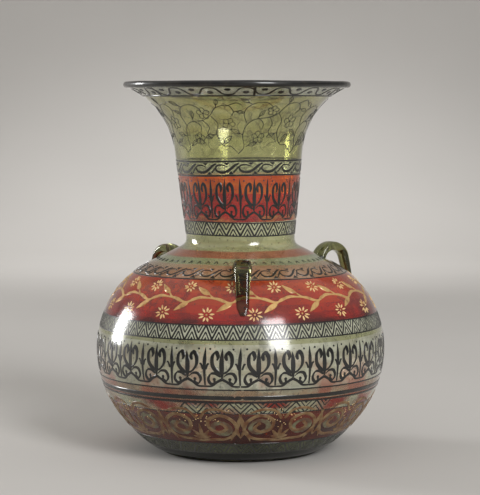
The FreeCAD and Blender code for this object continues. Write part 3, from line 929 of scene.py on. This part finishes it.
def paint_lamp():
    """All of the enamel, from the lip down."""
    ink = Enamel("lip_enamel", BLACK)
    under_lip = Band(300.4, 307.0)
    lip_wave(ink, under_lip, 18)
    ink.ring(under_lip, -0.4, 0.75)
    ink.build()

    ink = Enamel("neck_vine_lines", BLACK, raised=0.16)
    neck_vine(ink, Band(250.0, 299.0), 7)
    ink.build()

    ink = Enamel("neck_wave_enamel", BLACK, raised=0.16)
    wave_band = Band(235.6, 245.4, 0.5, 0.4)
    running_scroll(ink, wave_band, 17, 0.92)
    ink.ring(wave_band, -0.9, 0.8)
    ink.ring(wave_band, wave_band.height + 1.0, 0.8)
    ink.build()

    ink = Enamel("neck_ornament", BLACK, raised=0.22)
    arabesque(ink, Band(197.4, 232.9, 0.3, 1.0), 13, 1.2)
    ink.build()

    ink = Enamel("neck_chevrons", BLACK, raised=0.12)
    chevrons(ink, Band(184.4, 195.3, 0.6, 2.0), 25, 0.60)
    ink.build()

    ink = Enamel("shoulder_scroll", BLACK, raised=0.14)
    scroll_band = Band(153.0, 159.8, 0.3, 1.4)
    running_scroll(ink, scroll_band, 32, 0.74)
    ink.ring(scroll_band, -1.4, 0.7)
    ticks(ink, Band(163.2, 165.2, 0.2, 0.9), 56)
    ink.build()

    gold = Enamel("shoulder_vine", GOLD, "brass", 0.3)
    light = Enamel("shoulder_flowers", CREAM, "brass", 0.32)
    gold_vine(gold, light, Band(121.0, 151.0), 18)
    gold.build()
    light.build()

    ink = Enamel("belly_chevrons", BLACK, raised=0.12)
    chevrons(ink, Band(107.4, 118.8, 0.4, 0.3), 66, 0.60)
    ink.build()

    ink = Enamel("belly_ornament", BLACK, raised=0.24)
    arabesque(ink, Band(70.0, 102.5, 0.4, 2.2), 27, 1.5)
    ink.build()

    ink = Enamel("belly_rings", BLACK)
    rings = Band(57.0, 68.0, 0.5, 1.1)
    for height, width in ((67.3, 0.62), (60.7, 1.85), (57.3, 0.5)):
        ink.ring(rings, along_at(height) - rings.start, width)
    ink.build()

    ink = Enamel("lower_scrolls", TAN, "brass", 0.26)
    fill = Enamel("lower_fillings", CELADON, "green_glass", 0.10)
    specks = Enamel("lower_specks", CREAM, "brass", 0.12)
    great_scrolls(ink, fill, specks, Band(22.0, 51.5), 10, 1.6)
    ink.build()
    fill.build()
    specks.build()

    ink = Enamel("lower_chevrons", BLACK, raised=0.06)
    chevrons(ink, Band(47.6, 56.8, 0.2, 0.5), 40, 0.55, worn=0.45)
    ink.build()

    ink = Enamel("base_chevrons", BLACK, raised=0.12)
    chevrons(ink, Band(10.0, 19.8, 0.4, 0.8), 40, 0.60)
    ink.build()


# The hanging loops. Each has its angle about the lamp, where its eye lies along the shoulder, in degrees,
# and how far the eye's middle stands above it.

LOOP_RADIUS = 12.4
LOOP_START = math.radians(200)
OUTER_FOOT = math.radians(37.4)
LOOPS = {"front": (1.0, 53.9, -0.5), "right": (116.0, 56.6, 3.6), "left": (228.0, 56.4, -0.3)}

# The strap's half width and half thickness at shares of its length, from its root to its tail
STRAP_WIDTH = ((0, 0.08, 0.3, 0.6, 0.74, 0.9, 1), (10.5, 8.8, 7.6, 6.2, 5.4, 5.0, 2.2))
STRAP_DEPTH = ((0, 0.08, 0.3, 0.6, 0.74, 0.86, 1), (5.0, 4.7, 4.3, 3.7, 3.0, 1.8, 0.9))
STRAP_SIDES = 28


def unit(angle):
    """A step of length one in a direction."""
    return np.array([math.cos(angle), math.sin(angle)])


def make_loop(side, azimuth, polar, lift):
    """A strap of glass drawn up from the shoulder, looped and pressed down again with a flat tail."""
    hub = UPPER_CENTRE + (UPPER_SIDE_RADIUS + lift) * unit(math.radians(polar))
    foot = UPPER_CENTRE + (UPPER_SIDE_RADIUS + 0.6) * unit(OUTER_FOOT)
    to_foot = foot - hub
    leave = math.atan2(to_foot[1], to_foot[0]) + math.acos(LOOP_RADIUS / np.hypot(*to_foot))
    over = arc(hub, LOOP_RADIUS, LOOP_START, leave, 40)
    tail = arc(UPPER_CENTRE, UPPER_SIDE_RADIUS + 0.4, OUTER_FOOT - 0.03, OUTER_FOOT - 0.165, 12)
    path = respaced(np.vstack([over, [foot], tail]), 0.5)
    path = softened(path, foot, 2.5, 0.5)
    path = respaced(path, 1.0)
    along = np.linspace(0, 1, len(path))
    wide = np.interp(along, *STRAP_WIDTH)
    thick = np.interp(along, *STRAP_DEPTH)
    ahead = np.gradient(path, axis=0)
    ahead /= np.hypot(*ahead.T)[:, None]
    out = np.column_stack([-ahead[:, 1], ahead[:, 0]])
    turn = math.radians(azimuth)
    points = []
    for place, normal, half, depth in zip(path, out, wide, thick):
        for side_index in range(STRAP_SIDES):
            a = 2 * math.pi * side_index / STRAP_SIDES
            across = half * math.copysign(abs(math.cos(a)) ** 0.85, math.cos(a))
            up = depth * math.copysign(abs(math.sin(a)) ** 0.9, math.sin(a))
            up *= 1 - 0.12 * math.cos(a * 2) ** 2
            radius, height = place + normal * up
            right = radius * math.sin(turn) + across * math.cos(turn)
            forward = -radius * math.cos(turn) + across * math.sin(turn)
            points.append((right * MM, forward * MM, height * MM))
    faces = ring_faces(len(path), STRAP_SIDES) + end_caps(len(path), STRAP_SIDES)
    loop = new_object(f"loop_{side}", points, faces, [GREEN])
    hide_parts(f"handle_{side}")


# The foot ring and the oil lamp inside, which keep their solids

def dress_nodes():
    """Gives the kept solids their finish."""
    finishes = {
        "foot_ring": GREEN,
        "oil_cup": CLEAR_GLASS,
        "wick_bridge": BRASS,
        "wick_tube": BRASS,
        "wick": COTTON,
    }
    for node, material in finishes.items():
        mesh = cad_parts[node].data
        mesh.materials.clear()
        mesh.materials.append(material)


# Studio

def sweep_backdrop():
    """A pale seamless floor that curves up into the backdrop."""
    half, front, back, bend, top = 3.0, -3.0, 3.0, 1.0, 4.0
    line = [(front, 0.0), (back - bend, 0.0)]
    steps = 16
    for step in range(1, steps + 1):
        a = math.pi / 2 * step / steps
        line.append((back - bend + bend * math.sin(a), bend - bend * math.cos(a)))
    line.append((back, top))
    points = [(x, y, z) for y, z in line for x in (-half, half)]
    faces = [(2 * i, 2 * i + 1, 2 * i + 3, 2 * i + 2) for i in range(len(line) - 1)]
    nodes = Nodes("studio_paper")
    shade = nodes.between(nodes.noise(3, 2), 0.3, 0.7, 0.97, 1.0)
    nodes.set(
        Base_Color=nodes.mix(1.0, opaque((202, 199, 195)), shade, "MULTIPLY"),
        Roughness=nodes.between(nodes.noise(8, 2), 0.3, 0.7, 0.75, 0.85),
        Specular_IOR_Level=0.1,
    )
    floor = new_object("studio_sweep", points, faces, [nodes.material], body=None)


SOFTBOX_AIM = Vector((0, 0, 0.13))
SOFTBOX_SPREAD = math.radians(100)


def softbox(name, azimuth, elevation, distance, width, height, power):
    """A rectangular light aimed at the lamp. Angles are in degrees, and azimuth 0 is the camera's side."""
    light = bpy.data.lights.new(name, "AREA")
    light.shape = "RECTANGLE"
    light.size, light.size_y = width, height
    light.energy = power
    light.spread = SOFTBOX_SPREAD
    lamp = bpy.data.objects.new(name, light)
    bpy.context.scene.collection.objects.link(lamp)
    a = math.radians(azimuth)
    e = math.radians(elevation)
    back = Vector((math.sin(a) * math.cos(e), -math.cos(a) * math.cos(e), math.sin(e)))
    lamp.location = SOFTBOX_AIM + back * distance
    lamp.rotation_mode = "QUATERNION"
    lamp.rotation_quaternion = back.to_track_quat("Z", "Y")


def backdrop_light():
    """A pool of light on the backdrop behind the lamp."""
    light = bpy.data.lights.new("backdrop_spot", "SPOT")
    light.energy = 54
    light.spot_size = math.radians(66)
    light.spot_blend = 1.0
    light.shadow_soft_size = 0.15
    lamp = bpy.data.objects.new("backdrop_spot", light)
    bpy.context.scene.collection.objects.link(lamp)
    lamp.location = (0.0, 1.7, 1.7)
    lamp.rotation_euler = (math.radians(14), 0, 0)


def soft_room():
    """A dim room that brightens upwards, and a plain level where the camera sees past the backdrop."""
    world = bpy.data.worlds.new("soft_room")
    world.use_nodes = True
    tree = world.node_tree
    toward = tree.nodes.new("ShaderNodeTexCoord")
    upward = tree.nodes.new("ShaderNodeSeparateXYZ")
    ceiling = tree.nodes.new("ShaderNodeMapRange")
    ceiling.interpolation_type = "SMOOTHSTEP"
    for name, value in (("From Min", 0.1), ("From Max", 1.0), ("To Min", 0.15), ("To Max", 0.64)):
        ceiling.inputs[name].default_value = value
    path = tree.nodes.new("ShaderNodeLightPath")
    seen = tree.nodes.new("ShaderNodeMix")
    seen.inputs["B"].default_value = 0.60
    tree.links.new(toward.outputs["Generated"], upward.inputs[0])
    tree.links.new(upward.outputs["Z"], ceiling.inputs["Value"])
    tree.links.new(path.outputs["Is Camera Ray"], seen.inputs["Factor"])
    tree.links.new(ceiling.outputs[0], seen.inputs["A"])
    tree.links.new(seen.outputs["Result"], tree.nodes["Background"].inputs["Strength"])
    tree.nodes["Background"].inputs["Color"].default_value = (1.0, 0.98, 0.95, 1.0)
    bpy.context.scene.world = world


def studio():
    """The floor, the lights and the room."""
    sweep_backdrop()
    softbox("softbox_right", 31, 25, 4.4, 1.25, 2.9, 45)
    softbox("softbox_left", -115, 11, 3.6, 0.85, 1.4, 24)
    backdrop_light()
    soft_room()


def make_camera():
    """The camera at the photograph's viewing angle."""
    camera = bpy.data.cameras.new("camera")
    camera.sensor_width = SENSOR
    camera.lens = FOCAL_PIXELS / PHOTO_HEIGHT * SENSOR
    view = bpy.data.objects.new("camera", camera)
    bpy.context.scene.collection.objects.link(view)
    view.location = CAMERA_PLACE
    view.rotation_euler = (math.radians(90 - CAMERA_PITCH), 0, 0)
    bpy.context.scene.camera = view


make_camera()
studio()
make_vessel()
make_lip()
for side, spot in LOOPS.items():
    make_loop(side, *spot)
dress_nodes()
paint_lamp()
bpy.context.scene.view_settings.view_transform = "Standard"

bpy.context.view_layer.update()
